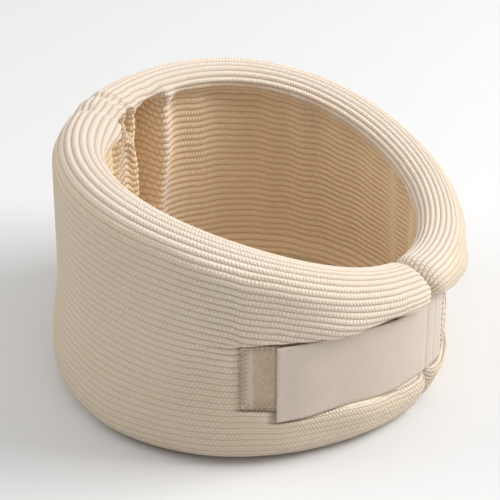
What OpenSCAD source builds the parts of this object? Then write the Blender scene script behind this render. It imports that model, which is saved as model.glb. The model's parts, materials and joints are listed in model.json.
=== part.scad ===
// Soft cervical collar: a padded foam strip in a knitted tube, bent round to a ring
// and closed at the nape by a hook-and-loop strap.
// +Z is up and the ring stands on its lower rim. The chin is at +Y, the nape at -Y.
// Places round the ring are given by the strip angle: 0 at the chin, growing towards -X.

/* [Collar] */
// Radius of the middle of the padded wall, seen from above
ring_r = 75.2; // [72:0.1:90]
// Thickness of the padded wall
wall_t = 22; // [21:0.5:26]
// Height of the wall, averaged round the ring
wall_h = 93.2; // [93:0.1:110]
// How far the wall rises at the chin and drops at the nape
chin_rise = 17.7; // [0:0.1:18]
// How far the wall rises on the side that carries the loop patch
side_rise = 8.8; // [0:0.1:9]
// Extra drop at the chin and the nape, against the two sides
nape_dip = 5.4; // [0:0.1:6]
// Lean of the upper rim between the quarters
rim_lean = 1.9; // [0:0.1:2]
// Rounding of the upper and lower rims
rim_r = 9.5; // [9:0.1:10]
// Rounding of the strip's two ends
end_r = 8.5; // [8:0.1:9]
// How far the ring is wider from side to side than from front to back
plan_oval = 1.1; // [0:0.1:3]
// How far the ring is pulled in where it is bent hardest
plan_pull = 1.6; // [0:0.1:3]
// Gap between the two ends at the nape
nape_gap = 2.8; // [2.6:0.1:6]
// How far the strap pulls in the lower wall beside its sewn end
end_tuck = 7; // [0:0.5:7]

/* [Cover and foam] */
// Thickness of the knitted cover
cover_t = 1.5; // [1:0.1:2.5]
// Free space between the cover and the foam
foam_gap = 0.3; // [0.2:0.1:0.5]
// Gap between the halves at the flex line
flex_gap = 0.4; // [0.3:0.1:1]

/* [Closure] */
// Width of the strap
strap_w = 36; // [34:0.5:37]
// Height of the strap's lower edge at the nape
strap_low = 19.4; // [18.4:0.1:20]
// How far the strap climbs from the nape to its free end
strap_climb = 3; // [0:0.5:3]
// How far the strap's upper edge drops at its sewn end, under the swollen roll
anchor_drop = 12; // [0:1:12]
// Thickness of the strap tape
strap_t = 1.2; // [0.8:0.1:1.5]
// Strip angle of the strap's free end
tail_end_a = 128; // [124:1:140]
// Strip angle covered by the strap between the nape and its sewn end
bridge_arc = 8; // [7:1:9]
// Strip angle covered by the sewn end
anchor_arc = 19; // [14:1:22]
// Thickness of the hook face under the strap's free end
hook_t = 1; // [0.6:0.1:1]
// Width of the hook face
hook_w = 22; // [16:1:22]
// Width of the loop patch
patch_w = 30; // [28:1:32]
// Thickness of the loop patch
patch_t = 1.5; // [1:0.1:1.5]
// Strip angle where the loop patch starts
patch_start_a = 118.5; // [114:0.5:120]
// Strip angle where the loop patch ends
patch_end_a = 165; // [160:1:168]

/* [Stitching] */
// Thickness of the sewing thread
thread_d = 0.6; // [0.4:0.1:0.6]
// Length of one stitch
stitch_len = 2.4; // [1.5:0.1:2.4]
// Distance from stitch to stitch
stitch_pitch = 3; // [2.5:0.1:5]

/* [Hidden] */

cover_colour = [0.86, 0.78, 0.66];
foam_colour = [0.93, 0.89, 0.78];
strap_colour = [0.82, 0.75, 0.68];
patch_colour = [0.78, 0.69, 0.58];
thread_colour = [0.80, 0.70, 0.56];

// Moves the ring so that its box is centred over the origin
centre_shift = [1.6, 0.4, 0];

half_t = wall_t / 2;
deg_per_mm = 180 / (PI * ring_r);
flex_a = deg_per_mm * flex_gap / 2;
tip_a = 180 - deg_per_mm * nape_gap / 2;
cut_a = 1;

// Stations along one half: even steps on the wall, then steps round the end
wall_steps = 22;
end_turns = [25, 50, 70, 90];
wall_end_a = tip_a - deg_per_mm * end_r;
wall_stops = [for (i = [0:wall_steps]) flex_a + i * (wall_end_a - flex_a) / wall_steps];
corner_steps = 3;
edge_r_min = 0.8;

// Layers of the closure, outwards from the wall's middle line
lie_gap = 0.25;
thread_gap = 0.05;
anchor_thread_gap = 0.15;
peel_gap = 0.3;
patch_side_depth = 4.2;
patch_in = half_t - patch_side_depth + lie_gap;
patch_out = patch_in + patch_t;
hook_in = patch_out + peel_gap;
hook_out = hook_in + hook_t;
tape_in = hook_out + lie_gap;
tape_out = tape_in + strap_t;
anchor_side_depth = half_t - tape_in + lie_gap;

// The seat that the closure lies in
seat_margin = 0.4;
seat_lip = 0.9;
seat_low = strap_low - seat_margin;
seat_high = strap_low + strap_w + seat_margin;
seat_fade = 10;
patch_seat_a = 100;
anchor_seat_a = 134;

strap_top = strap_low + strap_w;
patch_low = strap_top - patch_w;
patch_mid = patch_low + patch_w / 2;
hook_start_a = tail_end_a + 2;
hook_end_a = patch_end_a - 5;
fold_a = 0.1;
anchor_a = 180 - bridge_arc;
anchor_end_a = anchor_a - anchor_arc;
hem = 1.6;
zigzag_tilt = 25;
seam_pitch = 5;
seam_thread_d = 0.9;
seam_margin = 14;

function share(x) = min(max(x, 0), 1);

// How far the closure has climbed from the nape at strip angle a
function climb(a) = a > 0 ? strap_climb * share((180 - a) / (180 - tail_end_a)) : 0;

// How far the strap's upper edge drops towards its sewn end
drop_course = [[wall_stops[17], 0], [wall_stops[19], 1], [wall_stops[22], 0]];
function drop(a) = a > 0 ? 0 : anchor_drop * lookup(-a, drop_course);

// How far the wall below the strap's upper edge is pulled in, beside the sewn end
tuck_course = [[wall_stops[16], 0], [wall_stops[18], 1], [wall_stops[20], 1],
  [180 - bridge_arc - fold_a - 0.4, 0]];
function tuck(a, z) = a > 0 || z > seat_high - drop(a) + seat_lip / 2 ? 0
  : end_tuck * lookup(-a, tuck_course);

// Radius of the wall's middle line at strip angle a
function mid_r(a) = ring_r - plan_oval * cos(2 * a) - plan_pull * sin(3 * a)
  + plan_oval / 2 * sin(2 * a);

// Height of the upper rim at strip angle a
function wall_top(a) = wall_h + chin_rise * cos(a) + side_rise * sin(a)
  - nape_dip * cos(2 * a) - rim_lean * sin(2 * a);

// The point u outside the middle line and z up, at strip angle a
function ring_point(a, u, z) =
  let (r = mid_r(a) + u - tuck(a, z)) [-r * sin(a), r * cos(a), z] + centre_shift;

// Turn about Z of a thing that lies on the wall there
function yaw(a, u, z) =
  let (t = ring_point(a + 1, u, z) - ring_point(a - 1, u, z)) atan2(-t[1], -t[0]);

// Depth of the closure's seat in the outer face
function seat_depth(a) = a > 0
  ? patch_side_depth * share((a - patch_seat_a) / seat_fade)
  : anchor_side_depth * share((-a - anchor_seat_a) / seat_fade);

function corner(u, z, r, start) = [for (i = [0:corner_steps])
  let (turn = start + 90 * i / corner_steps) [u + r * cos(turn), z + r * sin(turn)]];

// Outline of the wall's section at strip angle a, drawn in by inset + rounding
function wall_outline(a, inset, rounding) =
  let (
    e = inset + rounding,
    r = max(rim_r - e, edge_r_min),
    side = half_t - e,
    seat = half_t - max(e, inset + seat_depth(a)),
    top = wall_top(a) - e,
    rise = climb(a),
    seat_top = seat_high + rise - drop(a)
  )
  concat(
    corner(side - r, e + r, r, -90),
    [[side, seat_low - seat_lip + rise], [seat, seat_low + rise], [seat, seat_top],
      [side, seat_top + seat_lip]],
    corner(side - r, top - r, r, 0),
    corner(r - side, top - r, r, 90),
    corner(r - side, e + r, r, 180));

function wall_ring(a, inset, rounding) =
  [for (p = wall_outline(a, inset, rounding)) ring_point(a, p[0], p[1])];

// All sections of one half, from angle start to the rounded end; side is 1 or -1
function wall_rings(side, inset, start) =
  let (r = end_r - inset)
  concat(
    [wall_ring(side * start, inset, 0)],
    [for (i = [1:wall_steps]) wall_ring(side * wall_stops[i], inset, 0)],
    [for (turn = end_turns) wall_ring(
      side * (tip_a - deg_per_mm * (inset + r * (1 - sin(turn)))), inset, r * (1 - cos(turn)))]);

// A solid through a list of closed sections with the same number of points
module sweep(rings, flip) {
  count = len(rings[0]);
  last = len(rings) - 1;
  start_cap = [for (j = [count - 1:-1:0]) j];
  end_cap = [for (j = [0:count - 1]) last * count + j];
  walls = [for (i = [0:last - 1], j = [0:count - 1], half = [0, 1])
    let (
      p = i * count + j,
      q = i * count + (j + 1) % count
    )
    half == 0 ? [p, q, p + count] : [q, q + count, p + count]];
  faces = concat([start_cap, end_cap], walls);
  polyhedron(
    points = [for (ring = rings, p = ring) p],
    faces = flip ? [for (f = faces) [for (k = [len(f) - 1:-1:0]) f[k]]] : faces);
}

// A flat band that follows the wall between two strip angles of the same sign
module band(side, start, end, u_in, u_out, low, high) {
  inner_stops = [for (s = wall_stops) if (s > start + 1 && s < end - 1) s];
  stops = concat([start], inner_stops, [end]);
  sweep([for (s = stops)
    let (a = side * s, top = high - drop(a))
    [for (p = [[u_in, low], [u_out, low], [u_out, top], [u_in, top]])
      ring_point(a, p[0], p[1] + climb(a))]], side < 0);
}

// One stitch lying on a face; tilt is measured from upright
module stitch(a, u, z, tilt) {
  translate(ring_point(a, u, z + climb(a)))
    rotate([0, tilt, yaw(a, u, z)])
      cylinder(h = stitch_len, d = thread_d, center = true, $fn = 24);
}

// Zigzag stitches just inside the border of a sewn-on band
module border_stitches(side, start, end, u, low, high) {
  hem_a = hem * deg_per_mm;
  row_mm = (end - start - 2 * hem_a) / deg_per_mm;
  row_count = floor(row_mm / stitch_pitch);
  for (i = [0:row_count]) {
    a = side * (start + hem_a + i * (end - start - 2 * hem_a) / row_count);
    tilt = i % 2 == 0 ? zigzag_tilt : -zigzag_tilt;
    stitch(a, u, low + hem, tilt);
    stitch(a, u, high - drop(a) - hem, tilt);
  }
  for (a = [side * (start + hem_a), side * (end - hem_a)]) {
    column_mm = high - drop(a) - low - 4 * hem;
    column_count = floor(column_mm / stitch_pitch);
    for (i = [0:column_count])
      stitch(a, u, low + 2 * hem + i * column_mm / column_count,
        90 + (i % 2 == 0 ? zigzag_tilt : -zigzag_tilt));
  }
}

module foam_core(side) {
  color(foam_colour)
    sweep(wall_rings(side, cover_t + foam_gap, flex_a), side < 0);
}

module knit_cover(side) {
  color(cover_colour)
    difference() {
      sweep(wall_rings(side, 0, flex_a), side < 0);
      sweep(wall_rings(side, cover_t, -cut_a), side < 0);
    }
}

// Thread that closes the knitted tube over the strip's end
module end_seam(side) {
  r = mid_r(180);
  low = seam_margin;
  high = wall_top(180) - seam_margin;
  tip_gap = nape_gap / 2 - thread_gap - seam_thread_d / 2;
  count = floor((high - low) / seam_pitch);
  color(thread_colour)
    translate([-side * tip_gap, -r, 0] + centre_shift)
      union() {
        translate([0, 0, low])
          cylinder(h = high - low, d = seam_thread_d, $fn = 24);
        for (i = [0:count])
          translate([0, 0, low + i * (high - low) / count])
            rotate([90, 0, 0])
              cylinder(h = stitch_len + 1, d = seam_thread_d, center = true, $fn = 24);
      }
}

module loop_patch() {
  color(patch_colour)
    band(1, patch_start_a, patch_end_a, patch_in, patch_out, patch_low, strap_top);
}

module patch_stitching() {
  color(thread_colour)
    border_stitches(1, patch_start_a, patch_end_a, patch_out + thread_gap + thread_d / 2,
      patch_low, strap_top);
}

module strap_tail() {
  color(strap_colour)
    band(1, tail_end_a, 180 - fold_a, tape_in, tape_out, strap_low, strap_top);
}

module hook_face() {
  color(strap_colour)
    band(1, hook_start_a, hook_end_a, hook_in, hook_out,
      patch_mid - hook_w / 2, patch_mid + hook_w / 2);
}

module strap_bridge() {
  color(strap_colour)
    band(-1, anchor_a + fold_a, 180 - fold_a, tape_in, tape_out, strap_low, strap_top);
}

module strap_anchor() {
  color(strap_colour)
    band(-1, anchor_end_a, anchor_a - fold_a, tape_in, tape_out, strap_low, strap_top);
}

module anchor_stitching() {
  color(thread_colour)
    border_stitches(-1, anchor_end_a, anchor_a - fold_a,
      tape_out + anchor_thread_gap + thread_d / 2, strap_low, strap_top);
}

foam_core(1);  // foam_core_left
foam_core(-1);  // foam_core_right
knit_cover(1);  // knit_cover_left
knit_cover(-1);  // knit_cover_right
end_seam(1);  // end_seam_left
end_seam(-1);  // end_seam_right
loop_patch();
patch_stitching();
strap_tail();
hook_face();
strap_bridge();
strap_anchor();
anchor_stitching();
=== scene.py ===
"""A soft cervical collar: a foam strip in a ribbed knit tube, bent to a ring and strapped at the nape.

Places round the ring are strip angles in degrees: 0 at the chin (+Y), growing towards -X. An angle
called b counts on through the nape: 180 there, and more on the right end. Lengths are in metres.
Along the wall's section, u is the distance out from the wall's middle and z is up.
"""

import json
import math

import bpy
import numpy as np
from mathutils import Matrix, Vector


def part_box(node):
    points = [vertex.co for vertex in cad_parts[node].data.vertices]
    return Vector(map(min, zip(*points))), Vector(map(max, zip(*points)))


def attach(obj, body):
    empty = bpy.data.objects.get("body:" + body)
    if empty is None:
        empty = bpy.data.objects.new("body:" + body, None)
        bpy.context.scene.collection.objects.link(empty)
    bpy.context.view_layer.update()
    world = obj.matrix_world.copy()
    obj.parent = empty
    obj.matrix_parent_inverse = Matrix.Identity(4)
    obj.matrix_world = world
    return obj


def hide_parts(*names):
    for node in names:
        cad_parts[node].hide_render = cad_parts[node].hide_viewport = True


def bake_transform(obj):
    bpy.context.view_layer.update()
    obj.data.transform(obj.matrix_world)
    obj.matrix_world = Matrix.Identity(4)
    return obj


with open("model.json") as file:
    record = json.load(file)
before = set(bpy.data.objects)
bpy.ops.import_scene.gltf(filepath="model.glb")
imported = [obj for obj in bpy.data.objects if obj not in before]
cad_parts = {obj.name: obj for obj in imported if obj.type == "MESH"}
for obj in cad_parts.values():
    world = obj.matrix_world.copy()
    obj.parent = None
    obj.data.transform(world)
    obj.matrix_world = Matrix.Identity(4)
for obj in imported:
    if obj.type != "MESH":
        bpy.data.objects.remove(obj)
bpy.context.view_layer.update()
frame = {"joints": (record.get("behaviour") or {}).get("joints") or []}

bl_info = {
    "name": "Soft Cervical Collar",
    "version": (1, 0, 0),
    "blender": (4, 5, 0),
    "location": "3D View > Sidebar > Collar",
    "description": "Knitted foam collar with a hook-and-loop closure",
    "category": "Object",
}

MM = 0.001

JOINTS = {joint["name"]: joint for joint in frame["joints"]}
PIECE_LOW, PIECE_HIGH = (corner.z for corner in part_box("strap_bridge"))
PATCH_WIDTH = 30 * MM
RING_CENTRE = (JOINTS["collar_open"]["pos_m"][0], 0.4 * MM)


# ---------------------------------------------------------------- settings

class CollarShape(bpy.types.PropertyGroup):
    """Sizes of the padded ring"""

    ring_radius: bpy.props.FloatProperty(
        name="Ring radius", description="Radius of the middle of the wall",
        default=75.2 * MM, unit="LENGTH")
    thickness: bpy.props.FloatProperty(
        name="Thickness", description="Thickness of the padded wall",
        default=22 * MM, unit="LENGTH")
    height: bpy.props.FloatProperty(
        name="Height", description="Height of the wall, averaged round the ring",
        default=93.2 * MM, unit="LENGTH")
    chin_rise: bpy.props.FloatProperty(
        name="Chin rise", description="How far the wall rises at the chin and drops at the nape",
        default=17.7 * MM, unit="LENGTH")
    side_rise: bpy.props.FloatProperty(
        name="Side rise", description="How far the wall rises on the patch side",
        default=8.8 * MM, unit="LENGTH")
    nape_dip: bpy.props.FloatProperty(
        name="Nape dip", description="Extra drop at the chin and nape, against the sides",
        default=5.6 * MM, unit="LENGTH")
    rim_lean: bpy.props.FloatProperty(
        name="Rim lean", description="Lean of the upper rim between the quarters",
        default=1.9 * MM, unit="LENGTH")
    plan_oval: bpy.props.FloatProperty(
        name="Oval", description="How far the ring is wider from side to side",
        default=1.1 * MM, unit="LENGTH")
    plan_pull: bpy.props.FloatProperty(
        name="Pull", description="How far the ring is pulled in where it bends hardest",
        default=1.6 * MM, unit="LENGTH")
    rim_rounding: bpy.props.FloatProperty(
        name="Rim rounding", description="Rounding of the upper and lower rims",
        default=10.4 * MM, unit="LENGTH")
    crown: bpy.props.FloatProperty(
        name="Crown", description="How far the faces bulge between the rims",
        default=0.7 * MM, unit="LENGTH")
    nape_gap: bpy.props.FloatProperty(
        name="Nape gap", description="Gap between the two pressed ends",
        default=0.5 * MM, unit="LENGTH")
    chin_swell: bpy.props.FloatProperty(
        name="Chin swell", description="How far the upper roll swells inwards beside the chin",
        default=6.5 * MM, unit="LENGTH")


class KnitSettings(bpy.types.PropertyGroup):
    """Sizes of the ribbed knit"""

    rib_count: bpy.props.IntProperty(
        name="Ribs", description="Ribs round the tube, an even number", default=76)
    rib_height: bpy.props.FloatProperty(
        name="Rib height", description="Height of the ribs on the rims and the inner face",
        default=0.55 * MM, unit="LENGTH")
    stretched_share: bpy.props.FloatProperty(
        name="Stretched share", description="Share of the rib height left on the outer face",
        default=0.16, subtype="FACTOR")
    course_pitch: bpy.props.FloatProperty(
        name="Course pitch", description="Length of one stitch along a rib",
        default=1.35 * MM, unit="LENGTH")
    crease_depth: bpy.props.FloatProperty(
        name="Crease depth", description="Depth of the deepest crease inside the chin",
        default=8.5 * MM, unit="LENGTH")
    wave_depth: bpy.props.FloatProperty(
        name="Wave depth", description="Depth of the soft waves on the inner face",
        default=2.2 * MM, unit="LENGTH")


class ClosureSettings(bpy.types.PropertyGroup):
    """Sizes of the strap and the loop patch"""

    tape_thickness: bpy.props.FloatProperty(
        name="Tape thickness", description="Thickness of the strap tape",
        default=1.0 * MM, unit="LENGTH")
    patch_thickness: bpy.props.FloatProperty(
        name="Patch thickness", description="Thickness of the loop patch",
        default=1.1 * MM, unit="LENGTH")
    sink: bpy.props.FloatProperty(
        name="Sink", description="How far the pulled strap sinks into the foam",
        default=3.0 * MM, unit="LENGTH")
    lip: bpy.props.FloatProperty(
        name="Lip", description="How far the foam swells beside the strap",
        default=1.9 * MM, unit="LENGTH")
    end_tuck: bpy.props.FloatProperty(
        name="End tuck", description="How far the strap pulls in the wall beside its sewn end",
        default=7 * MM, unit="LENGTH")
    sewn_drop: bpy.props.FloatProperty(
        name="Sewn drop", description="How far the strap's upper edge drops at its sewn end",
        default=10 * MM, unit="LENGTH")
    climb: bpy.props.FloatProperty(
        name="Climb", description="How far the strap climbs from the nape to its free end",
        default=3 * MM, unit="LENGTH")
    thread: bpy.props.FloatProperty(
        name="Thread", description="Thickness of the sewing thread",
        default=0.5 * MM, unit="LENGTH")


class CollarColours(bpy.types.PropertyGroup):
    """Colours of the collar's materials"""

    knit: bpy.props.FloatVectorProperty(
        name="Knit", description="Colour of the cotton yarn",
        default=(0.89, 0.79, 0.665), subtype="COLOR", min=0, max=1)
    # Painted shade: this warmer, deeper colour on the inner face stands in for the shade and warm bounce
    # light inside the ring; the yarn is the same as on the outside.
    knit_inner_shade: bpy.props.FloatVectorProperty(
        name="Knit inside", description="Colour of the denser yarn on the inner face",
        default=(0.97, 0.78, 0.53), subtype="COLOR", min=0, max=1)
    strap: bpy.props.FloatVectorProperty(
        name="Strap", description="Colour of the strap tape",
        default=(0.72, 0.61, 0.515), subtype="COLOR", min=0, max=1)
    patch: bpy.props.FloatVectorProperty(
        name="Patch", description="Colour of the loop pile",
        default=(0.56, 0.43, 0.31), subtype="COLOR", min=0, max=1)
    thread: bpy.props.FloatVectorProperty(
        name="Thread", description="Colour of the sewing thread",
        default=(0.60, 0.47, 0.34), subtype="COLOR", min=0, max=1)
    foam: bpy.props.FloatVectorProperty(
        name="Foam", description="Colour of the foam strip",
        default=(0.86, 0.80, 0.62), subtype="COLOR", min=0, max=1)
    floor: bpy.props.FloatVectorProperty(
        name="Floor", description="Colour of the table top",
        default=(0.765, 0.765, 0.765), subtype="COLOR", min=0, max=1)


# ---------------------------------------------------------------- the ring's shape

def smooth(x):
    """0 below 0, 1 above 1, and a smooth step between."""
    x = np.clip(x, 0.0, 1.0)
    return x * x * (3 - 2 * x)


def hump(x, width):
    """A bell: 1 at 0, and about a third of that a width away on either side."""
    return np.exp(-(x / width) ** 2)


def round_the_nape(angle):
    """Strip angle as one run through the nape: the left end below 180, the right end above it."""
    return np.where(angle < 0, angle + 360, angle)


def degrees_per_metre(radius):
    return 180 / (math.pi * radius)


def mid_radius(shape, angle):
    """Radius of the wall's middle line."""
    a = np.radians(angle)
    return (shape.ring_radius - shape.plan_oval * np.cos(2 * a)
            - shape.plan_pull * np.sin(3 * a) + shape.plan_oval / 2 * np.sin(2 * a))


def rim_height(shape, angle):
    """Height of the upper rim."""
    a = np.radians(angle)
    return (shape.height + shape.chin_rise * np.cos(a) + shape.side_rise * np.sin(a)
            - shape.nape_dip * np.cos(2 * a) - shape.rim_lean * np.sin(2 * a))


def ring_point(shape, angle, u, z):
    """Points in the frame, u outside the wall's middle line."""
    a = np.radians(angle)
    r = mid_radius(shape, angle) + u
    x, y, z = np.broadcast_arrays(RING_CENTRE[0] - r * np.sin(a), RING_CENTRE[1] + r * np.cos(a), z)
    return np.stack((x, y, z), axis=-1)


# How the closure runs round the nape, in angles counted through 180
PATCH_START, PATCH_END = 118.5, 165.0
TAIL_START, NAPE, SEWN_START, SEWN_END = 128.0, 180.0, 188.0, 207.0
SEAT_FADE, SEAT_END = 4.0, 240.0
# Shares of the wall's pull-in and of the strap's drop at its sewn end, at some angles
TUCK_COURSE = ((188, 0.0), (196, 0.4), (204, 0.95), (212, 1.0), (220, 0.8), (229, 0.25), (236, 0.0))
DROP_COURSE = ((184, 0.0), (190, 0.14), (197, 0.42), (207, 1.0), (214, 1.0), (226, 0.3), (234, 0.0))


def along_course(course, b):
    """The value of a table of (angle, value) pairs at an angle."""
    angles, values = zip(*course)
    return np.interp(b, angles, values)


# Between the strap and the patch, and the patch's hem: its length in degrees and its extra height
PATCH_GAP = 0.55 * MM
HEM_LENGTH, HEM_LIFT = 2.8, 0.35 * MM


def tape_face(shape, closure, b):
    """How far out the strap's outer face lies."""
    proud = shape.thickness / 2 + closure.tape_thickness
    sunk = closure.sink * smooth((b - 126) / 26)
    fold = 0.5 * MM * hump(b - NAPE, 0.5)
    lifted = 0.5 * MM * hump(b - TAIL_START, 1.8)
    tucked = (closure.end_tuck - 1.2 * MM) * along_course(TUCK_COURSE, b)
    return proud - sunk - fold + lifted - tucked


def strap_edges(closure, b):
    """Heights of the strap's lower and upper edges."""
    nape_low, nape_high = PIECE_LOW - 0.2 * MM, PIECE_HIGH
    slope = closure.climb * (1 - np.clip((b - TAIL_START) / (NAPE - TAIL_START), 0, 1))
    curl = 2.4 * MM * hump(b - 166, 10)
    drop = closure.sewn_drop * along_course(DROP_COURSE, b)
    sag = 0.9 * MM * hump(b - 148, 9) - 0.7 * MM * hump(b - 163, 7)
    return nape_low + slope + sag, nape_high + slope - curl - drop


def patch_top(closure, b):
    """Height of the loop patch's upper edge: just over the strap's, then hidden under it."""
    return strap_edges(closure, b)[1] + 0.3 * MM - 1.1 * MM * smooth((b - 126) / 6)


def patch_hem(b):
    """1 on the turned-over hem at the patch's start, 0 past it."""
    return 1 - smooth((b - PATCH_START - HEM_LENGTH) / 0.6)


def patch_face(shape, closure, b):
    """How far out the loop patch's outer face lies: just under the strap, and higher on its hem."""
    return tape_face(shape, closure, b) - closure.tape_thickness - PATCH_GAP + HEM_LIFT * patch_hem(b)


def roll_edges(closure, b):
    """Heights at which the foam swells out below and above the strap."""
    low, high = strap_edges(closure, b)
    gape = 2.4 * MM * hump(b - 166, 10) + 0.9 * MM * hump(b - 160, 9)
    return low - 0.6 * MM, high + gape + 0.7 * MM


def seat_floor(shape, closure, b):
    """How far out the knit lies under the closure."""
    under_patch = smooth((b - PATCH_START + SEAT_FADE) / SEAT_FADE) * (1 - smooth((b - PATCH_END) / 3))
    stack = closure.tape_thickness + 0.25 * MM + (closure.patch_thickness + 0.6 * MM) * under_patch
    floor = tape_face(shape, closure, b) - stack
    used = smooth((b - PATCH_START + SEAT_FADE) / SEAT_FADE) * (1 - smooth((b - SEWN_END) / 24))
    return shape.thickness / 2 - (shape.thickness / 2 - floor) * used


def face_path(half_t, height, rounding, low, count):
    """(u, z) up one face of the section, from the middle of the lower rim to that of the upper."""
    flat = half_t - rounding
    quarter = math.pi * rounding / 2
    wall = height - 2 * rounding
    d = np.linspace(0, 2 * flat + 2 * quarter + wall, count)
    turn = np.clip((d - flat) / rounding, 0, math.pi / 2)
    over = np.clip((d - flat - quarter - wall) / rounding, 0, math.pi / 2)
    u = np.minimum(d, flat) + rounding * np.sin(turn) - rounding * (1 - np.cos(over))
    u -= np.clip(d - flat - 2 * quarter - wall, 0, flat)
    z = rounding * (1 - np.cos(turn)) + np.clip(d - flat - quarter, 0, wall) + rounding * np.sin(over)
    return u, z + low


def press_closure(shape, closure, b, u, z, inset):
    """The outer face with the strap's seat pressed in and the foam swelling over its edges."""
    if b < PATCH_START - 3 * SEAT_FADE or b > SEAT_END:
        return u, z
    roll_low, high = roll_edges(closure, b)
    under_strap = smooth((b - TAIL_START + 3) / 3)
    patch_low = high - 1.4 * MM - PATCH_WIDTH
    low = patch_low + (roll_low - patch_low) * under_strap
    pulled = closure.end_tuck * float(along_course(TUCK_COURSE, b))
    u = u - pulled * (1 - smooth((z - high + 1 * MM) / (2.5 * MM)))
    edge = 1 * MM
    pressed = smooth((z - low + edge) / edge) * (1 - smooth((z - high) / edge))
    floor = seat_floor(shape, closure, b) - inset
    u = np.where(pressed > 0, np.minimum(u, floor + (u - floor) * (1 - pressed)), u)
    swell = closure.lip * smooth((b - 131) / 22) * (1 - smooth((b - 205) / 12))
    above = hump(z - high - 5 * MM, 4.4 * MM) * (z > high)
    below = hump(z - low + 4.5 * MM, 4.2 * MM) * (z < low)
    u = u + swell * (above + 0.7 * below)
    drooping = smooth((b - 136) / 18) * (1 - smooth((b - 208) / 6)) * (1 - 0.9 * hump(b - 161, 9))
    z = z - 2.2 * MM * drooping * hump(z - high - 2 * MM, 1.6 * MM)
    rising = smooth((b - 140) / 10) * (1 - smooth((b - 158) / 8))
    return u, z + 1.6 * MM * rising * hump(z - low + 2 * MM, 1.6 * MM)


# Creases inside the chin. Each is (share of the deepest, (height, strip angle) pairs up the face,
# its widths in degrees to the left and right, and the heights where it starts and ends). Heights
# are in millimetres and run on over the upper rim, along the surface. A negative share is a ridge.
CREASES = (
    (1.15, ((40, -11.5), (72, -11.6), (103, -11.6)), 3.8, 4.0, -20, 100),
    (0.40, ((40, 5.0), (70, 5.0), (84, 6.0), (95, 8.0)), 4.0, 3.2, 30, 101),
    (0.62, ((80, 12.0), (93, 13.2), (100, 13.8), (113, 17.0), (124, 19.0)), 1.7, 3.2, 88, 124),
    (0.46, ((86, -1.5), (95, 0.6), (104, 4.3), (113, 6.4), (124, 7.5)), 1.7, 1.7, 84, 124),
    (-0.26, ((49, -6.9), (54, -6.3), (67, -4.9), (78, -2.5), (90, 2.2), (102, 6.7), (112, 10.0)),
     1.9, 1.6, 36, 122),
    (-0.20, ((70, -4.6), (81, -4.4), (90, -4.6), (97, -1.8), (107, 3.0), (116, 3.0)), 1.7, 1.5, 80, 122),
    (-0.12, ((60, 3.6), (80, 2.6)), 1.1, 1.1, 56, 84),
    (-0.50, ((40, -15.5), (55, -17.5), (66, -19.0), (92, -18.6)), 2.2, 4.0, -20, 104),
)
RIM_CALM = 0.78  # how much of a crease is smoothed out by the roll of the rim
# Strip angles of the waves on the inner face
WAVES = (-131, -118, -103, -88, -74, -61, -49, -36, 47, 64, 80, 99, 121)


def crumple(knit, angle, q, shoulder, rounding):
    """How far the creases push the inner face and the upper rim into the wall."""
    pushed = np.zeros_like(q)
    if not -45 < angle < 40:
        return pushed
    for share, line, left, right, low, high in CREASES:
        heights, places = np.array(line).T
        off = angle - np.interp(q, heights * MM, places)
        width = np.where(off > 0, left, right)
        length = smooth((q - (low - 5) * MM) / (10 * MM)) * (1 - smooth((q - (high - 5) * MM) / (10 * MM)))
        pushed += share * knit.crease_depth * np.exp(-np.abs(off / width) ** 2.4) * length
    return pushed * (1 - RIM_CALM * smooth((q - shoulder) / rounding))


def pushed_in(u, z, rise, depth):
    """A face's points, pushed towards the wall's middle or, on the rim, the rounding's centre."""
    reach = np.hypot(u, rise) + 1e-9
    return u - depth * u / reach, z - depth * rise / reach


def waves(knit, angle, z):
    """Soft upright waves on the inner face."""
    pushed = np.zeros_like(z)
    for k, middle in enumerate(WAVES):
        off = angle - middle - 60.0 * (z - 50 * MM) * math.sin(2.1 * k)
        strength = 0.75 + 0.45 * math.sin(1.7 * k + 0.6)
        pushed += knit.wave_depth * strength * (0.3 - hump(off, 4.4))
    return pushed


def spread_evenly(u, z, count):
    """The path's points, moved so that count of them lie evenly along it; the last is left out."""
    run = np.concatenate(([0], np.cumsum(np.hypot(np.diff(u), np.diff(z)))))
    at = np.linspace(0, run[-1], count + 1)[:-1]
    return np.interp(at, run, u), np.interp(at, run, z)


# At the strip's ends: how far the faces and the rims are drawn in, how deep the seam lies and half
# the thickness left there. FINE_PATH is the number of points a section is worked out with.
END_ROUND, END_DROP = 6.0 * MM, 8.5 * MM
SEAM_DIMPLE, SEAM_HALF = 1.1 * MM, 0.25 * MM
FINE_PATH = 620
# How far the right end's heel is drawn in, and how far the wall's foot stands out round the ring
HEEL_IN = 4.6 * MM
FOOT_COURSE = ((-152, 0.0), (-140, -2.4 * MM), (-118, -2.0 * MM), (-80, 0.0), (-20, 0.0), (15, 2.4 * MM),
               (45, 4.2 * MM), (75, 3.6 * MM), (105, 1.0 * MM), (125, 0.0))


def wall_stations(shape, inset, chin_step, step, cap_steps):
    """Where the sections stand: (strip angle, draw-in of the faces, draw-in of the rims, seam share)."""
    per_m = degrees_per_metre(shape.ring_radius)
    tip = 180 - per_m * (shape.nape_gap / 2 + inset)
    r = END_ROUND - inset * 0.5
    half = []
    for turn in np.linspace(0, math.pi / 2, 7)[1:]:
        half.append((tip - per_m * r * (1 - math.sin(turn)), r * (1 - math.cos(turn)),
                     END_DROP * (1 - math.cos(turn)), 0.0))
    for k in range(1, cap_steps + 1):
        share = k / cap_steps
        half.append((tip - per_m * SEAM_DIMPLE * share ** 2, r, END_DROP, share))
    angles = [-(tip - per_m * r)]
    while angles[-1] < tip - per_m * r:
        near_chin = smooth((angles[-1] + 31) / 6) * (1 - smooth((angles[-1] - 20) / 6))
        angles.append(angles[-1] + step + (chin_step - step) * float(near_chin))
    angles[-1] = tip - per_m * r
    start = [(-a, u, z, s) for a, u, z, s in reversed(half)]
    return start + [(a, 0.0, 0.0, 0.0) for a in angles] + half


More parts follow.
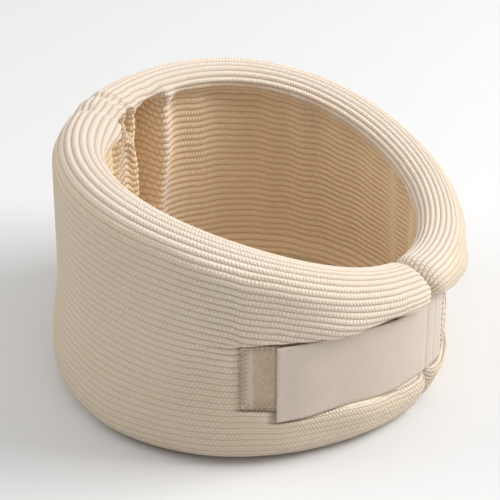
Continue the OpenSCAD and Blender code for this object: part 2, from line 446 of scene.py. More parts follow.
def section_faces(shape, knit, closure, inset, station):
    """The section's outer and inner face at a station, each as (u, z) up from the lower rim."""
    angle, draw_u, draw_z, seam = station
    b = float(round_the_nape(angle))
    padded = 1 - seam
    half_t = shape.thickness / 2 - inset - draw_u
    half_t -= (half_t - SEAM_HALF) * seam
    rim = inset + draw_z + 3 * MM * seam
    top = float(rim_height(shape, angle))
    height = top - 2 * rim
    rounding = min(shape.rim_rounding - inset - 0.6 * draw_u, half_t * 0.96)
    u, z = face_path(half_t, height, rounding, rim, FINE_PATH)
    off_middle = smooth(u / half_t)

    bulge = shape.crown * np.sin(math.pi * np.clip((z - rim) / height, 0, 1)) * padded
    lumps = 0.35 * MM * math.sin(angle * 0.21) * np.sin(z / (17 * MM) + angle * 0.05)
    outer_u, outer_z = press_closure(
        shape, closure, b, u + bulge + lumps * (u > 0.8 * half_t), z, inset)
    foot = float(along_course(FOOT_COURSE, angle)) * smooth((58 * MM - z) / (45 * MM))
    heel = HEEL_IN * float(hump(b - 198, 15)) * smooth((21 * MM - z) / (13 * MM))
    outer_u = outer_u + (foot - heel) * padded * off_middle

    swell = shape.chin_swell * float(hump(angle - 27, 12)) * smooth((z - 30 * MM) / (50 * MM))
    inside = smooth((z - 4 * MM) / (12 * MM)) * smooth((top - 4 * MM - z) / (10 * MM))
    lean = closure.end_tuck * float(along_course(TUCK_COURSE, b)) * smooth((56 * MM - z) / (50 * MM))
    inner_u = -u - bulge * 0.5 - swell * off_middle * padded + waves(knit, angle, z) * inside * padded

    # The creases, by the distance q up the inner face and over the rim, down to the outer face
    shoulder = top - rim - rounding
    rise = np.maximum(z - shoulder, 0)
    q = z + rounding * (math.pi / 2 - 1) * np.clip((z - shoulder) / rounding, 0, 1)
    free = smooth((z - 6 * MM) / (12 * MM)) * padded
    depth = crumple(knit, angle, q, shoulder, rounding) * free
    inner_u, inner_z = pushed_in(inner_u, z, rise, depth)
    depth = crumple(knit, angle, 2 * q[-1] - q, shoulder, rounding) * free
    outer_u, outer_z = pushed_in(outer_u, outer_z, rise, depth * (q < q[-1]) * (z > shoulder))
    return (outer_u, outer_z), (inner_u - lean, inner_z)


def wall_sections(shape, knit, closure, inset, stations, count):
    """Grid of (u, z) points, one row per station, starting at the middle of the lower rim."""
    rows = []
    for station in stations:
        (outer_u, outer_z), (inner_u, inner_z) = section_faces(shape, knit, closure, inset, station)
        outer = spread_evenly(outer_u, outer_z, count // 2)
        inner = spread_evenly(inner_u[::-1], inner_z[::-1], count // 2)
        rows.append(np.concatenate((np.stack(outer, axis=-1), np.stack(inner, axis=-1))))
    return np.array(rows)


def grid_normals(points):
    """Outward normals of a grid that is closed along its second axis."""
    along = np.gradient(points, axis=0)
    around = np.roll(points, -1, axis=1) - np.roll(points, 1, axis=1)
    normal = np.cross(along, around)
    return normal / np.maximum(np.linalg.norm(normal, axis=-1, keepdims=True), 1e-12)


# ---------------------------------------------------------------- making meshes

def new_piece(name, points, faces, uvs):
    """A smooth mesh object from points, faces and one UV pair per face corner."""
    mesh = bpy.data.meshes.new(name)
    mesh.from_pydata(points.tolist(), [], faces)
    mesh.polygons.foreach_set("use_smooth", np.ones(len(faces), bool))
    layer = mesh.uv_layers.new(name="fabric")
    layer.data.foreach_set("uv", np.asarray(uvs, np.float32).ravel())
    mesh.validate()
    piece = bpy.data.objects.new(name, mesh)
    bpy.context.scene.collection.objects.link(piece)
    return piece


def tube_faces(rings, count):
    """Quads of a tube of rings, and the ring and corner number of each quad's corners."""
    i, j = np.meshgrid(np.arange(rings - 1), np.arange(count), indexing="ij")
    i, j = i.ravel(), j.ravel()
    corners = np.stack((np.stack((i, i + 1, i + 1, i), -1), np.stack((j, j, j + 1, j + 1), -1)), -1)
    index = corners[..., 0] * count + corners[..., 1] % count
    return index, corners


def slit_faces(first, count, flip):
    """Quads that close a flattened ring across its slit, between the two faces."""
    half = count // 2
    quads = []
    for k in range(half):
        quad = [first + k, first + k + 1, first + (count - k - 1), first + (count - k) % count]
        quad = list(dict.fromkeys(quad))
        quads.append(quad[::-1] if flip else quad)
    return [quad for quad in quads if len(quad) > 2]


def smooth_tube(name, points, u_scale, v_scale):
    """A closed tube piece from a grid of rings, its UVs running along and round it."""
    rings, count = points.shape[:2]
    quads, corners = tube_faces(rings, count)
    caps = slit_faces(0, count, False) + slit_faces((rings - 1) * count, count, True)
    quads = quads.tolist()
    uv = np.stack((u_scale[corners[..., 0]], v_scale[corners[..., 1]]), -1).reshape(-1, 2)
    cap_uv = [(u_scale[p // count], v_scale[p % count]) for face in caps for p in face]
    return new_piece(name, points.reshape(-1, 3), quads + caps, np.concatenate((uv, cap_uv)))


def add_attribute(piece, name, values):
    """A number for each point, for the materials."""
    layer = piece.data.attributes.new(name, "FLOAT", "POINT")
    layer.data.foreach_set("value", np.asarray(values, np.float32).ravel())


def deselect():
    bpy.ops.object.select_all(action="DESELECT")


def chosen(*objects):
    """Selects just these objects and makes the first one active."""
    deselect()
    for piece in objects:
        piece.select_set(True)
    bpy.context.view_layer.objects.active = objects[0]


def thread_piece(name, path, thickness, closed=False):
    """A sewing thread along a path, drawn as a bevelled curve and turned into a mesh."""
    deselect()
    bpy.ops.curve.primitive_nurbs_path_add(radius=0.01, location=(0, 0, 0))
    piece = bpy.context.object
    curve = piece.data
    curve.splines.clear()
    spline = curve.splines.new("NURBS")
    spline.points.add(len(path) - 1)
    spline.points.foreach_set("co", np.c_[path, np.ones(len(path))].ravel())
    spline.order_u = 3
    spline.use_endpoint_u = not closed
    spline.use_cyclic_u = closed
    spline.resolution_u = 3
    curve.bevel_depth = thickness / 2
    curve.bevel_resolution = 1
    curve.use_fill_caps = True
    bpy.ops.object.convert(target="MESH")
    piece = bpy.context.object
    piece.name = name
    piece.data.name = name
    chosen(piece)
    bpy.ops.object.shade_smooth()
    return piece


def joined(name, pieces):
    """One piece made of several."""
    chosen(*pieces)
    bpy.ops.object.join()
    piece = bpy.context.object
    piece.name = name
    piece.data.name = name
    return piece


def copies_of(template, places, name):
    """One piece made of copies of a template, one for each matrix."""
    made = []
    for place in places:
        copy = template.copy()
        copy.data = template.data.copy()
        copy.data.transform(place)
        bpy.context.scene.collection.objects.link(copy)
        made.append(copy)
    bpy.data.objects.remove(template)
    return joined(name, made)


def bent_wire(vertices, radius, start, turn, steps):
    """A short wire, extruded step by step from a small disc. Steps are in millimetres."""
    deselect()
    bpy.ops.mesh.primitive_circle_add(vertices=vertices, radius=radius, fill_type="NGON",
                                      location=start, rotation=turn)
    wire = bpy.context.object
    bpy.ops.object.transform_apply(location=True, rotation=True, scale=True)
    bpy.ops.object.mode_set(mode="EDIT")
    bpy.ops.mesh.select_all(action="SELECT")
    for step in steps:
        bpy.ops.mesh.extrude_region_move(
            TRANSFORM_OT_translate={"value": [move * MM for move in step]})
    bpy.ops.mesh.select_all(action="SELECT")
    bpy.ops.mesh.normals_make_consistent(inside=False)
    bpy.ops.object.mode_set(mode="OBJECT")
    bpy.ops.object.shade_smooth()
    return wire


def stood_on_ring(point, angle, slope=0.0):
    """The matrix that stands a small piece at a point, turned with the ring and sloped along it."""
    return (Matrix.Translation(Vector(point)) @ Matrix.Rotation(math.radians(angle), 4, "Z")
            @ Matrix.Rotation(slope, 4, "Y"))


# ---------------------------------------------------------------- materials

class Nodes:
    """A short way to build a material's nodes."""

    def __init__(self, name):
        self.material = bpy.data.materials.new(name)
        self.material.use_nodes = True
        self.tree = self.material.node_tree
        self.shader = self.tree.nodes["Principled BSDF"]

    def add(self, kind, **values):
        node = self.tree.nodes.new(kind)
        for key, value in values.items():
            setattr(node, key, value)
        return node

    def put(self, value, socket):
        if isinstance(value, bpy.types.NodeSocket):
            self.tree.links.new(value, socket)
        else:
            socket.default_value = value

    def math(self, operation, a, b=0.0, c=0.0):
        node = self.add("ShaderNodeMath", operation=operation)
        for value, socket in zip((a, b, c), node.inputs):
            self.put(value, socket)
        return node.outputs[0]

    def uv(self):
        node = self.add("ShaderNodeUVMap", uv_map="fabric")
        split = self.add("ShaderNodeSeparateXYZ")
        self.tree.links.new(node.outputs[0], split.inputs[0])
        return split.outputs[0], split.outputs[1]

    def attribute(self, name):
        return self.add("ShaderNodeAttribute", attribute_name=name).outputs["Fac"]

    def noise(self, scale, detail=2.0, roughness=0.5):
        where = self.add("ShaderNodeTexCoord")
        node = self.add("ShaderNodeTexNoise")
        self.tree.links.new(where.outputs["Object"], node.inputs["Vector"])
        node.inputs["Scale"].default_value = scale
        node.inputs["Detail"].default_value = detail
        node.inputs["Roughness"].default_value = roughness
        return node.outputs["Fac"]

    def stretch(self, value, low, high, to_low=0.0, to_high=1.0):
        node = self.add("ShaderNodeMapRange")
        for socket, v in zip(("Value", "From Min", "From Max", "To Min", "To Max"),
                             (value, low, high, to_low, to_high)):
            self.put(v, node.inputs[socket])
        return node.outputs[0]

    def mix(self, factor, a, b, blend="MIX"):
        node = self.add("ShaderNodeMix", data_type="RGBA", blend_type=blend)
        self.put(factor, node.inputs["Factor"])
        for value, socket in ((a, node.inputs["A"]), (b, node.inputs["B"])):
            self.put(value if isinstance(value, bpy.types.NodeSocket) else (*value, 1.0), socket)
        return node.outputs["Result"]

    def mix_value(self, factor, a, b):
        node = self.add("ShaderNodeMix", data_type="FLOAT")
        for value, socket in ((factor, node.inputs[0]), (a, node.inputs[2]), (b, node.inputs[3])):
            self.put(value, socket)
        return node.outputs[0]

    def finish(self, colour, roughness, height, depth, strength=1.0, sheen=0.0, specular=0.3):
        self.put(colour, self.shader.inputs["Base Color"])
        self.put(roughness, self.shader.inputs["Roughness"])
        self.shader.inputs["Specular IOR Level"].default_value = specular
        self.shader.inputs["Sheen Weight"].default_value = sheen
        self.shader.inputs["Sheen Roughness"].default_value = 0.45
        bump = self.add("ShaderNodeBump")
        bump.inputs["Strength"].default_value = strength
        bump.inputs["Distance"].default_value = depth
        self.put(height, bump.inputs["Height"])
        self.tree.links.new(bump.outputs[0], self.shader.inputs["Normal"])
        return self.material


def tint(colour, factor):
    return tuple(min(1.0, c * factor) for c in colour)


def stitches(n, along, across, lean, wobble, groove):
    """Height of columns of V stitches, each column half a stitch out of step with the last."""
    side = n.math("ABSOLUTE", n.math("SUBTRACT", n.math("MULTIPLY", n.math("FRACT", across), 2.0), 1.0))
    step = n.math("FRACT", n.math("MULTIPLY", n.math("FLOOR", across), 0.5))
    slant = n.math("MULTIPLY", side, lean)
    phase = n.math("FRACT", n.math("ADD", n.math("ADD", n.math("SUBTRACT", along, slant), step), wobble))
    strand = n.math("POWER", n.math("SINE", n.math("MULTIPLY", phase, math.pi)), 0.8)
    column = n.math("POWER", n.math("COSINE", n.math("MULTIPLY", side, math.pi / 2)), 0.5)
    strand = n.math("ADD", 0.46, n.math("MULTIPLY", strand, 0.54))
    return n.math("MULTIPLY", strand, n.math("ADD", groove, n.math("MULTIPLY", column, 1 - groove)))


def knit_material(colours):
    """Ribbed cotton knit: a column of V stitches on each rib, finer and flatter where stretched, with
    painted shade in its colour: in the grooves, on the outer face and on the inner face.
    """
    n = Nodes("ribbed_knit")
    along, across = n.uv()
    flat = n.attribute("stretched")
    # inside marks the inner face below the rim, which takes the painted shade colour
    inside = n.attribute("inside")
    wobble = n.math("MULTIPLY", n.math("SUBTRACT", n.noise(700, 2), 0.5), 0.7)
    relaxed = stitches(n, along, across, 0.5, wobble, 0.05)
    twice = n.math("MULTIPLY", across, 2.0)
    pulled = stitches(n, along, twice, 0.45, wobble, 0.6)
    rows = n.math("COSINE", n.math("MULTIPLY", across, 2 * math.pi))
    pulled = n.math("SUBTRACT", pulled, n.math("MULTIPLY", n.math("MAXIMUM", rows, 0.0), 0.26))
    yarn = n.mix_value(flat, relaxed, pulled)
    fuzz = n.noise(2300, 2)
    height = n.math("ADD", yarn, n.math("MULTIPLY", n.math("SUBTRACT", fuzz, 0.5), 0.5))
    cotton = tuple(colours.knit)
    # Painted shade: the stretched outer face gets a deeper, warmer copy of the cotton colour than the lit
    # rims.
    drawn = n.mix(1.0, cotton, (1.0, 0.96, 0.88), "MULTIPLY")
    # Painted shade: the inner face takes the warmer, deeper shaded colour
    tone = n.mix(inside, n.mix(flat, cotton, drawn), tuple(colours.knit_inner_shade))
    base = n.mix(n.stretch(n.noise(45, 3), 0.3, 0.7, 0.0, 0.08), tone, (1.0, 1.0, 1.0))
    # Painted shade: the grooves between stitches are coloured darker and more saturated (deep, shade,
    # dark), mixed in where the stitch height is low.
    deep = n.mix(0.6, base, n.mix(1.0, base, tone, "MULTIPLY"))
    shade = n.mix(flat, (0.72, 0.56, 0.45), (0.72, 0.60, 0.50))
    dark = n.mix(1.0, deep, shade, "MULTIPLY")
    colour = n.mix(n.stretch(height, 0.0, 0.85), dark, base)
    rough = n.stretch(fuzz, 0.2, 0.8, 0.8, 0.95)
    return n.finish(colour, rough, height, 0.6 * MM, 1.0, sheen=0.2, specular=0.2)


def tape_material(colours):
    """Smooth woven tape: fine crossing yarns, cloudy shading and a slight sheen."""
    n = Nodes("woven_tape")
    along, across = n.uv()
    warp = n.math("SINE", n.math("MULTIPLY", across, 2 * math.pi / 0.9))
    weft = n.math("SINE", n.math("MULTIPLY", along, 2 * math.pi / 1.1))
    weave = n.math("MULTIPLY", n.math("ADD", n.math("MULTIPLY", warp, weft), 1.0), 0.5)
    patchy = n.noise(110, 3)
    height = n.math("ADD", n.math("MULTIPLY", weave, 0.6), n.math("MULTIPLY", n.noise(1500, 2), 0.6))
    base = n.mix(n.stretch(patchy, 0.3, 0.7), tint(colours.strap, 0.95), tint(colours.strap, 1.04))
    colour = n.mix(n.stretch(height, 0.1, 1.0), tint(colours.strap, 0.80), base)
    return n.finish(colour, n.stretch(patchy, 0.3, 0.7, 0.55, 0.70), height, 0.10 * MM, 0.9,
                    sheen=0.15, specular=0.35)


def pile_material(colours):
    """Brushed loop pile."""
    n = Nodes("loop_pile")
    curl = n.noise(1500, 3, 0.6)
    clump = n.noise(420, 2)
    height = n.math("ADD", curl, n.math("MULTIPLY", clump, 0.6))
    pile = n.mix(n.stretch(height, 0.5, 1.1), tint(colours.patch, 0.86), tint(colours.patch, 1.34))
    colour = n.mix(n.attribute("hem"), pile, tint(colours.strap, 0.93))
    return n.finish(colour, 0.9, height, 0.35 * MM, 0.9, sheen=0.4, specular=0.2)


def thread_material(colours):
    """Twisted sewing thread."""
    n = Nodes("sewing_thread")
    fibre = n.noise(2400, 2)
    colour = n.mix(n.stretch(fibre, 0.3, 0.7), tint(colours.thread, 0.85), tint(colours.thread, 1.1))
    return n.finish(colour, 0.7, fibre, 0.08 * MM, 0.7, sheen=0.2, specular=0.3)


def hook_material(colours):
    """Nylon hooks and their ground."""
    n = Nodes("nylon_hooks")
    fibre = n.noise(900, 2)
    colour = n.mix(n.stretch(fibre, 0.3, 0.7), tint(colours.strap, 0.85), tint(colours.strap, 1.02))
    return n.finish(colour, 0.42, fibre, 0.05 * MM, 0.5, specular=0.45)


def foam_material(colours):
    """Open-cell foam."""
    n = Nodes("open_cell_foam")
    where = n.add("ShaderNodeTexCoord")
    cells = n.add("ShaderNodeTexVoronoi")
    cells.inputs["Scale"].default_value = 900
    n.tree.links.new(where.outputs["Object"], cells.inputs["Vector"])
    height = cells.outputs["Distance"]
    colour = n.mix(n.stretch(height, 0.0, 0.7), tint(colours.foam, 0.7), tint(colours.foam, 1.05))
    return n.finish(colour, 0.9, height, 0.3 * MM, 0.8, specular=0.2)


def floor_material(colours):
    """Matt white table top."""
    n = Nodes("table_top")
    grain = n.noise(30, 2)
    colour = n.mix(grain, tint(colours.floor, 0.995), tint(colours.floor, 1.005))
    return n.finish(colour, 0.8, grain, 0.02 * MM, 0.1, specular=0.2)


MATERIALS = {
    "knit": knit_material,
    "strap": tape_material,
    "loop": pile_material,
    "thread": thread_material,
    "hooks": hook_material,
    "foam": foam_material,
}


def dress(piece, slot):
    """Gives a piece its material, made once for each slot."""
    material = bpy.data.materials.get("made_" + slot)
    if material is None:
        material = MATERIALS[slot](bpy.context.scene.collar_colours)
        material.name = "made_" + slot
    piece.data.materials.clear()
    piece.data.materials.append(material)


# ---------------------------------------------------------------- baking the pieces' transforms


def bend_at_chin(piece):
    """Bakes the piece's transform into its points and reads them back; the piece is not bent."""
    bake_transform(piece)
    co = np.empty(len(piece.data.vertices) * 3)
    piece.data.vertices.foreach_get("co", co)
    co = co.reshape(-1, 3)


def bend_at_fold(piece):
    """Bakes the strap's transform into its points; the strap is not bent."""
    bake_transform(piece)


# ---------------------------------------------------------------- operators

class COLLAR_OT_knit_cover(bpy.types.Operator):
    """Makes the ribbed knit cover, with its creases and the strap's seat"""

    bl_idname = "collar.knit_cover"
    bl_label = "Knit cover"

    def execute(self, context):
        scene = context.scene
        shape, knit, closure = scene.collar_shape, scene.collar_knit, scene.collar_closure
        per_rib = 5
        count = knit.rib_count * per_rib
        stations = wall_stations(shape, inset=0.0, chin_step=0.7, step=2.25, cap_steps=5)
        section = wall_sections(shape, knit, closure, 0.0, stations, count)
        angle = np.array([s[0] for s in stations])
        seam = np.array([s[3] for s in stations])
        base = ring_point(shape, angle[:, None], section[..., 0], section[..., 1])
        normal = grid_normals(base)
        around = np.arange(count + 1) / per_rib
        ridge = -0.5 * np.cos(2 * math.pi * around[:-1])
        a = np.radians(angle)[:, None]
        outward = -normal[..., 0] * np.sin(a) + normal[..., 1] * np.cos(a)
        on_outer = smooth((outward - 0.45) / 0.4)
        near_strap = smooth((angle[:, None] - 84) / 34) * smooth((base[..., 2] - 40 * MM) / (20 * MM))
        stretched = on_outer * (1 - 0.7 * near_strap)
        share = 1 - (1 - knit.stretched_share) * stretched
        pitch = np.linalg.norm(np.roll(base, -1, axis=1) - base, axis=-1) * per_rib
        narrow = np.clip(pitch / (2.6 * MM), 0, 1)
        lift = knit.rib_height * share * narrow * ridge[None, :]
        points = base + normal * lift[..., None]
        points[..., 2] = np.maximum(points[..., 2], 0.05 * MM)
        run = np.radians(angle) * shape.ring_radius / knit.course_pitch
        run = run + np.where(angle < 0, -3.0, 3.0) * seam
        piece = smooth_tube("knit_cover", points, run, around)
        # stretched marks the outer face: flatter stitches, and a painted shade tone in the material
        add_attribute(piece, "stretched", stretched)
        # inside: the share of painted shade on the inner face below the upper rim, lifted on two crease
        # ridges
        under_rim = smooth((rim_height(shape, angle)[:, None] - 2 * MM - base[..., 2]) / (16 * MM))
        # Painted highlight: the inner face's painted shade is lifted on two crease ridges so they read
        # lighter, as where light catches them.
        ridge_highlight = 1 - 0.75 * hump(angle + 19.5, 2.6) - 0.5 * hump(angle - 1.0, 2.4)
        add_attribute(piece, "inside", smooth((0.1 - outward) / 0.7) * under_rim * ridge_highlight[:, None])
        dress(piece, "knit")
        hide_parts("knit_cover_left", "knit_cover_right")
        bend_at_chin(piece)
        return {"FINISHED"}


class COLLAR_OT_foam_core(bpy.types.Operator):
    """Makes the foam strip inside the cover"""

    bl_idname = "collar.foam_core"
    bl_label = "Foam core"

    def execute(self, context):
        scene = context.scene
        shape, knit, closure = scene.collar_shape, scene.collar_knit, scene.collar_closure
        count, inset = 96, 2.0 * MM
        stations = wall_stations(shape, inset, chin_step=1.2, step=3.2, cap_steps=3)
        section = wall_sections(shape, knit, closure, inset, stations, count)
        angle = np.array([s[0] for s in stations])
        points = ring_point(shape, angle[:, None], section[..., 0], section[..., 1])
        piece = smooth_tube("foam_core", points, angle, np.arange(count + 1) / count)
        dress(piece, "foam")
        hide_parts("foam_core_left", "foam_core_right")
        bend_at_chin(piece)
        return {"FINISHED"}


def tape_section(width, thickness, across, selvedge):
    """(distance across, height over the inner face) round a tape's section, inner face first."""
    rounding = thickness * 0.3
    w = np.linspace(-1, 1, across) * (width / 2 - rounding)
    top = thickness + selvedge * hump(np.abs(w) - width / 2 + 1.3 * MM, 0.6 * MM)
    turn = np.linspace(-math.pi / 2, math.pi / 2, 5)[1:-1]
    edge_w = width / 2 - rounding + rounding * np.cos(turn)
    edge_h = thickness * (0.5 + 0.5 * np.sin(turn))
    ring_w = np.concatenate((w, edge_w, w[::-1], -edge_w[::-1]))
    ring_h = np.concatenate((np.zeros_like(w), edge_h, top[::-1], edge_h[::-1]))
    return ring_w, ring_h


def tape_piece(name, shape, b, inner, low, high, thickness, selvedge=0.12 * MM, across=30):
    """A flat tape along the ring, from its angles, how far out its inner face lies and its edges."""
    width = float(np.mean(high - low))
    ring_w, ring_h = tape_section(width, thickness, across, selvedge)
    ends = np.ones(len(b))
    ends[[0, -1]] = 0.55
    z = (low + high)[:, None] / 2 + ring_w[None, :] * ((high - low)[:, None] / width)
    u = inner[:, None] + (ring_h[None, :] - thickness / 2) * ends[:, None] + thickness / 2
    points = ring_point(shape, b[:, None], u, z)
    rings, count = points.shape[:2]
    quads, corners = tube_faces(rings, count)
    run = np.radians(b) * shape.ring_radius / MM
    width_mm = np.append(ring_w, ring_w[0]) / MM
    uv = np.stack((run[corners[..., 0]], width_mm[corners[..., 1]]), -1).reshape(-1, 2)
    last = (rings - 1) * count
    caps = [list(range(last, last + count))[::-1], list(range(count))]
    cap_uv = [(run[p // count], width_mm[p % count]) for face in caps for p in face]
    piece = new_piece(name, points.reshape(-1, 3), quads.tolist() + caps, np.concatenate((uv, cap_uv)))
    chosen(piece)
    bpy.ops.object.mode_set(mode="EDIT")
    bpy.ops.mesh.select_all(action="SELECT")
    bpy.ops.mesh.normals_make_consistent(inside=False)
    bpy.ops.object.mode_set(mode="OBJECT")
    bpy.ops.object.shade_smooth_by_angle(angle=math.radians(50))
    return piece


class COLLAR_OT_strap(bpy.types.Operator):
    """Makes the closure strap, from its free end round the nape to its sewn end"""

    bl_idname = "collar.strap"
    bl_label = "Closure strap"

    def execute(self, context):
        shape, closure = context.scene.collar_shape, context.scene.collar_closure
        meet = (NAPE + SEWN_START) / 2
        for name, start, end in (("closure_strap", TAIL_START, meet),
                                 ("strap_sewn_end", meet, SEWN_END)):
            b = np.linspace(start, end, int((end - start) / 0.5))
            low, high = strap_edges(closure, b)
            inner = tape_face(shape, closure, b) - closure.tape_thickness
            piece = tape_piece(name, shape, b, inner, low, high, closure.tape_thickness)
            dress(piece, "strap")
            if name == "closure_strap":
                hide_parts("strap_tail")
                bend_at_fold(piece)
            else:
                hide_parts("strap_bridge", "strap_anchor")
                bend_at_fold(piece)
        return {"FINISHED"}


class COLLAR_OT_loop_patch(bpy.types.Operator):
    """Makes the loop patch and the zigzag stitching round its border"""

    bl_idname = "collar.loop_patch"
    bl_label = "Loop patch"

    def execute(self, context):
        shape, closure = context.scene.collar_shape, context.scene.collar_closure
        b = np.linspace(PATCH_START, PATCH_END, 150)
        high = patch_top(closure, b)
        low = high - PATCH_WIDTH
        inner = patch_face(shape, closure, b) - closure.patch_thickness
        piece = tape_piece("loop_patch", shape, b, inner, low, high, closure.patch_thickness,
                           selvedge=0.0, across=60)
        add_attribute(piece, "hem", np.repeat(patch_hem(b), len(piece.data.vertices) // len(b)))
        dress(piece, "loop")
        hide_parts("loop_patch")
        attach(piece, "left_half")
        self.stitch(shape, closure)
        return {"FINISHED"}

    def stitch(self, shape, closure):
        """Zigzag thread over the patch's border."""
        per_m = degrees_per_metre(shape.ring_radius + shape.thickness / 2)
        width, pitch = 3.4 * MM, 1.05 * MM
        margin = width / 2 - 0.6 * MM
        far, top = (PATCH_END - PATCH_START) / per_m - margin, PATCH_WIDTH - margin
        corners = [(margin, margin), (far, margin), (far, top), (margin, top)]
        inner_point, outer_point = (0.10 * MM, 0.8), (0.0, 1.0)
        path = []
        for (x0, y0), (x1, y1) in zip(corners, corners[1:] + corners[:1]):
            run = math.hypot(x1 - x0, y1 - y0)
            steps = int(run / pitch / 2) * 2
            dx, dy = (x1 - x0) / run, (y1 - y0) / run
            for k in range(steps):
                at = run * k / steps
                out = width / 2 * (1 if k % 2 else -1)
                turns = (inner_point, outer_point) if k % 2 else (outer_point, inner_point)
                for lift, share in turns:
                    path.append((x0 + dx * at + dy * out * share, y0 + dy * at - dx * out * share, lift))
        path = np.array(path)
        b = PATCH_START + path[:, 0] * per_m
        proud = patch_face(shape, closure, b) + 0.05 * MM + path[:, 2]
        z = patch_top(closure, b) - PATCH_WIDTH + path[:, 1]
        points = ring_point(shape, b, proud, z)
        piece = thread_piece("patch_stitching", points, closure.thread, closed=True)
        dress(piece, "thread")
        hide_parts("patch_stitching")
        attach(piece, "left_half")


class COLLAR_OT_hook_face(bpy.types.Operator):
    """Makes the field of hooks under the strap's free end"""

    bl_idname = "collar.hook_face"
    bl_label = "Hook face"

    def execute(self, context):
        shape, closure = context.scene.collar_shape, context.scene.collar_closure
        start, end = TAIL_START + 2, PATCH_END - 5
        b = np.linspace(start, end, 60)
        ground = 0.15 * MM
        inner = tape_face(shape, closure, b) - closure.tape_thickness - ground
        low, high = strap_edges(closure, b)
        border, row_step, hook_pitch = 5 * MM, 0.95, 1.25 * MM
        base = tape_piece("hook_ground", shape, b, inner, low + border, high - border, ground,
                          selvedge=0.0, across=12)
        places = []
        for row, angle in enumerate(np.arange(start + 0.8, end - 0.5, row_step)):
            face = float(tape_face(shape, closure, angle)) - closure.tape_thickness - ground
            z_low, z_high = strap_edges(closure, angle)
            first = z_low + border + 0.8 * MM + (row % 2) * 0.6 * MM
            for z in np.arange(first, z_high - border - 0.6 * MM, hook_pitch):
                places.append(stood_on_ring(ring_point(shape, angle, face, z), angle))
        field = copies_of(self.one_hook(), places, "hook_field")
        piece = joined("hook_face", [base, field])
        dress(piece, "hooks")
        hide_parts("hook_face")
        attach(piece, "strap_tail")
        return {"FINISHED"}

    def one_hook(self):
        """A small J of nylon that stands on the tape's inner face, towards -Y."""
        steps = ((0, -0.22, 0), (0, -0.12, 0.06), (0, -0.03, 0.14), (0, 0.08, 0.12))
        return bent_wire(5, 0.09 * MM, (0, 0, 0), (math.pi / 2, 0, 0), steps)


class COLLAR_OT_seams(bpy.types.Operator):
    """Makes the threads that close the knit tube's ends and hold the strap's sewn end"""

    bl_idname = "collar.seams"
    bl_label = "Seams and stitches"

    def execute(self, context):
        shape, closure = context.scene.collar_shape, context.scene.collar_closure
        for side, name, body in ((1, "end_seam_left", "left_half"), (-1, "end_seam_right", "right_half")):
            self.end_seam(shape, closure, side, name, body)
        self.sewn_end(shape, closure)
        return {"FINISHED"}

    def end_seam(self, shape, closure, side, name, body):
        """Overcast thread that closes the tube over the foam's end."""
        tip = 180 - degrees_per_metre(shape.ring_radius) * (shape.nape_gap / 2 + SEAM_DIMPLE * 0.45)
        low, high = 15 * MM, float(rim_height(shape, 180)) - 15 * MM
        count = 26
        path = []
        for k in range(count + 1):
            z = low + (high - low) * k / count
            for out in ((-1.6, 1.6) if k % 2 else (1.6, -1.6)):
                path.append(ring_point(shape, side * tip, out * MM, z + 0.2 * out * MM))
        piece = thread_piece(name, np.array(path), closure.thread)
        dress(piece, "thread")
        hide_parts(name)
        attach(piece, body)

    def sewn_end(self, shape, closure):
        """A box of stitches crossed by an X, on the strap's sewn end."""
        low = float(strap_edges(closure, SEWN_END)[0])
        per_m = degrees_per_metre(shape.ring_radius + shape.thickness / 2)
        edge, stitch_length = 2.6 * MM, 2.8 * MM
        x0, x1 = SEWN_START + 1.5, SEWN_END - edge * per_m
        z0 = low + edge
        z1, z2 = (float(strap_edges(closure, x)[1]) - edge for x in (x0, x1))
        lines = [((x0, z0), (x1, z0)), ((x1, z0), (x1, z2)), ((x1, z2), (x0, z1)),
                 ((x0, z1), (x0, z0)), ((x0, z0), (x1, z2)), ((x0, z1), (x1, z0))]
        places = []
        for (xa, za), (xb, zb) in lines:
            run = math.hypot((xb - xa) / per_m, zb - za)
            count = round(run / stitch_length)
            slope = math.atan2(zb - za, (xb - xa) / per_m)
            for k in range(count):
                share = (k + 0.5) / count
                b = xa + (xb - xa) * share
                face = float(tape_face(shape, closure, b))
                point = ring_point(shape, b, face, za + (zb - za) * share)
                places.append(stood_on_ring(point, b, slope))
        piece = copies_of(self.one_stitch(closure.thread), places, "anchor_stitching")
        dress(piece, "thread")
        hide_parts("anchor_stitching")
        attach(piece, "right_half")

    def one_stitch(self, thread):
        """A thread that arches out of the tape and back into it, along X."""
        rising = ((0.2, 0.3, 0), (0.35, 0.2, 0), (0.5, 0.05, 0))
        falling = tuple((x, -y, 0) for x, y, _ in rising[::-1])
        start = (-1.05 * MM, -0.35 * MM, 0)
        return bent_wire(6, thread / 2, start, (0, math.pi / 2, 0), rising + falling)


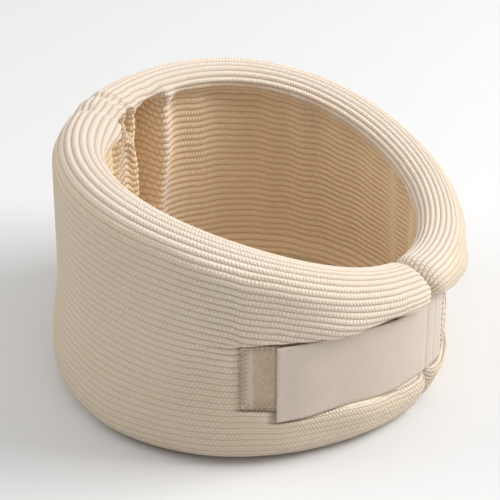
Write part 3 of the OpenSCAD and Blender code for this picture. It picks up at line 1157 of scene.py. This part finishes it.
class COLLAR_OT_stage(bpy.types.Operator):
    """Makes the table top, the light and the camera"""

    bl_idname = "collar.stage"
    bl_label = "Stage"

    def execute(self, context):
        scene = context.scene
        deselect()
        bpy.ops.mesh.primitive_grid_add(x_subdivisions=8, y_subdivisions=8, size=6, location=(0, 0, 0))
        table = context.object
        table.name = "table_top"
        table.data.materials.append(floor_material(scene.collar_colours))
        self.camera(scene)
        self.lights(scene)
        return {"FINISHED"}

    def camera(self, scene):
        azimuth, elevation = math.radians(-57.0), math.radians(35.29)
        distance, sensor, lens = 0.9239, 36, 150.6168
        back = Vector((math.sin(azimuth) * math.cos(elevation),
                       -math.cos(azimuth) * math.cos(elevation), math.sin(elevation)))
        right = Vector((math.cos(azimuth), math.sin(azimuth), 0))
        up = back.cross(right)
        centre = Vector((0.0023, -0.0006, 0))
        aim = centre + right * -0.0050 + up * 0.0414
        place = centre + back * distance
        turn = (place - aim).to_track_quat("Z", "Y").to_euler()
        bpy.ops.object.camera_add(location=place, rotation=turn)
        camera = bpy.context.object
        camera.name = "view_camera"
        camera.data.sensor_width = sensor
        camera.data.lens = lens
        camera.data.clip_start = 0.01
        scene.camera = camera

    def lights(self, scene):
        world = bpy.data.worlds.new("studio")
        scene.world = world
        world.use_nodes = True
        background = world.node_tree.nodes["Background"]
        background.inputs["Color"].default_value = (1, 1, 1, 1)
        background.inputs["Strength"].default_value = 0.276
        scene.view_settings.view_transform = "Standard"
        for name, place, size, watts in (
            ("window", (0.71, -0.91, 0.95), 0.8, 21.0),
            ("reflector", (-0.54, 1.02, 0.95), 0.8, 6.5),
            ("overhead", (0.08, 0.05, 1.8), 1.6, 7.0),
            ("front", (-0.70, -0.57, 1.5), 1.0, 2.0),
        ):
            where = Vector(place)
            turn = where.to_track_quat("Z", "Y").to_euler()
            bpy.ops.object.light_add(type="AREA", location=where, rotation=turn)
            light = bpy.context.object
            light.name = name
            light.data.size = size
            light.data.energy = watts


class COLLAR_PT_sidebar(bpy.types.Panel):
    """Lists the collar's pieces"""

    bl_idname = "COLLAR_PT_sidebar"
    bl_label = "Cervical Collar"
    bl_space_type = "VIEW_3D"
    bl_region_type = "UI"
    bl_category = "Collar"

    def draw(self, context):
        layout = self.layout
        for group in ("collar_shape", "collar_knit", "collar_closure", "collar_colours"):
            settings = getattr(context.scene, group)
            column = layout.column(align=True)
            for name in settings.__annotations__:
                column.prop(settings, name)
        for operator in PIECE_OPERATORS:
            layout.operator(operator.bl_idname)


PIECE_OPERATORS = (COLLAR_OT_knit_cover, COLLAR_OT_foam_core, COLLAR_OT_loop_patch,
                   COLLAR_OT_hook_face, COLLAR_OT_strap, COLLAR_OT_seams, COLLAR_OT_stage)
GROUPS = {"collar_shape": CollarShape, "collar_knit": KnitSettings,
          "collar_closure": ClosureSettings, "collar_colours": CollarColours}


def register():
    for group in GROUPS.values():
        bpy.utils.register_class(group)
    for operator in PIECE_OPERATORS:
        bpy.utils.register_class(operator)
    bpy.utils.register_class(COLLAR_PT_sidebar)
    for name, group in GROUPS.items():
        setattr(bpy.types.Scene, name, bpy.props.PointerProperty(type=group))


def unregister():
    for name in GROUPS:
        delattr(bpy.types.Scene, name)
    for kind in (COLLAR_PT_sidebar, *PIECE_OPERATORS, *GROUPS.values()):
        bpy.utils.unregister_class(kind)


def main():
    register()
    for operator in PIECE_OPERATORS:
        group, name = operator.bl_idname.split(".")
        getattr(getattr(bpy.ops, group), name)()


if __name__ == "__main__":
    main()
